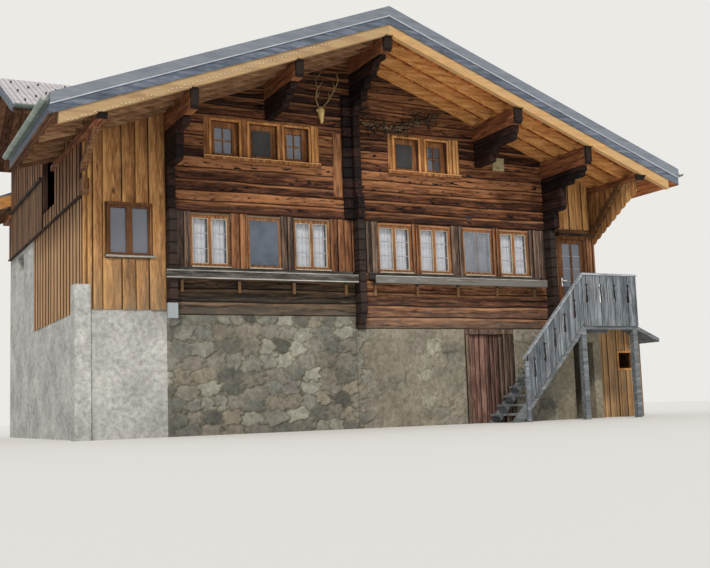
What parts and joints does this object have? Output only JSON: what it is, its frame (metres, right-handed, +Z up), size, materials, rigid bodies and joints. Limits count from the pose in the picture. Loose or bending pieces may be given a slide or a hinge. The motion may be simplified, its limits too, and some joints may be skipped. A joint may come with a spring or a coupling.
{
  "type": "alpine log chalet",
  "caption": "Squared-log alpine chalet on a masonry cellar, with a low gabled roof on purlins, boarded side bays, an outside stair and a lean-to shed",
  "frame": {"origin": "middle of the building's footprint box, on the lowest ground level", "axes": "+X along the log front towards the stair, +Y from the front into the house, +Z up"},
  "size_m": [15.25, 11.3, 8.55],
  "materials": {
    "rubble": "split rubble in lime mortar",
    "render": "rough grey lime render",
    "light_render": "pale render",
    "floor_boards": "planed boards",
    "log_wood": "sun-browned hewn larch",
    "dark_log": "weather-blackened log ends",
    "purlin_wood": "oiled beam",
    "new_wood": "honey spruce",
    "bay_board": "sawn spruce boards",
    "casing_wood": "oiled casing boards",
    "grey_board": "weathered grey boards",
    "weathered_wood": "weathered posts",
    "door_wood": "red-brown boards",
    "stair_wood": "silver-grey boards",
    "roof_metal": "matt grey sheet",
    "light_metal": "pale corrugated sheet",
    "zinc": "dull zinc",
    "pane": "clear glass",
    "screen": "fine dark mesh",
    "curtain_cloth": "thin white cloth",
    "grey_enamel": "grey enamel"
  },
  "bodies": {
    "chalet": {"plinth_stone": "rubble", "plinth_render": "render", "plinth_sides": "render", "plinth_rear": "rubble", "floors": "floor_boards", "front_logs_left": "log_wood", "front_logs_right": "log_wood", "gable_logs": "log_wood", "left_log_wall": "dark_log", "middle_log_wall": "dark_log", "right_log_wall": "dark_log", "rear_logs": "log_wood", "gable_consoles": "dark_log", "purlins": "purlin_wood", "rafters_left": "new_wood", "rafters_right": "new_wood", "deck_left_front": "new_wood", "deck_left_middle": "new_wood", "deck_left_rear": "new_wood", "deck_right": "new_wood", "upper_rafters": "new_wood", "cover_left_front": "roof_metal", "cover_left_middle": "roof_metal", "cover_left_rear": "roof_metal", "cover_right": "roof_metal", "barge_boards": "grey_board", "gutters": "zinc", "wing_deck": "new_wood", "wing_cover": "light_metal", "lower_windows_frames": "casing_wood", "upper_windows_frames": "casing_wood", "window_glass": "pane", "insect_screens": "screen", "window_boards": "log_wood", "flower_shelves": "grey_board", "curtains": "curtain_cloth", "left_bay_base": "light_render", "left_bay_front": "bay_board", "left_bay_side": "bay_board", "left_bay_bracket": "purlin_wood", "left_bay_rail": "purlin_wood", "right_bay_base": "render", "right_bay_front": "bay_board", "right_bay_side": "bay_board", "bay_rear_walls": "bay_board", "wind_cheek": "bay_board", "cellar_frame": "weathered_wood", "entrance_frame": "casing_wood", "landing": "stair_wood", "landing_parapet": "stair_wood", "stair_strings": "stair_wood", "stair_treads": "stair_wood", "stair_parapet": "stair_wood", "shed_walls": "bay_board", "shed_roof": "grey_board", "meter_box": "grey_enamel"},
    "cellar_leaf": {"cellar_door": "door_wood"},
    "entrance_leaf": {"entrance_door": "casing_wood", "entrance_glass": "pane"}
  },
  "joints": [
    {"name": "cellar_door_hinge", "type": "hinge", "parent": "chalet", "child": "cellar_leaf", "pos_m": [2.034, -3.683, 1], "axis": [0, 0, 1], "range_deg": [0, 90]},
    {"name": "entrance_door_hinge", "type": "hinge", "parent": "chalet", "child": "entrance_leaf", "pos_m": [5.416, -3.713, 3.2], "axis": [0, 0, -1], "range_deg": [0, 90]}
  ]
}
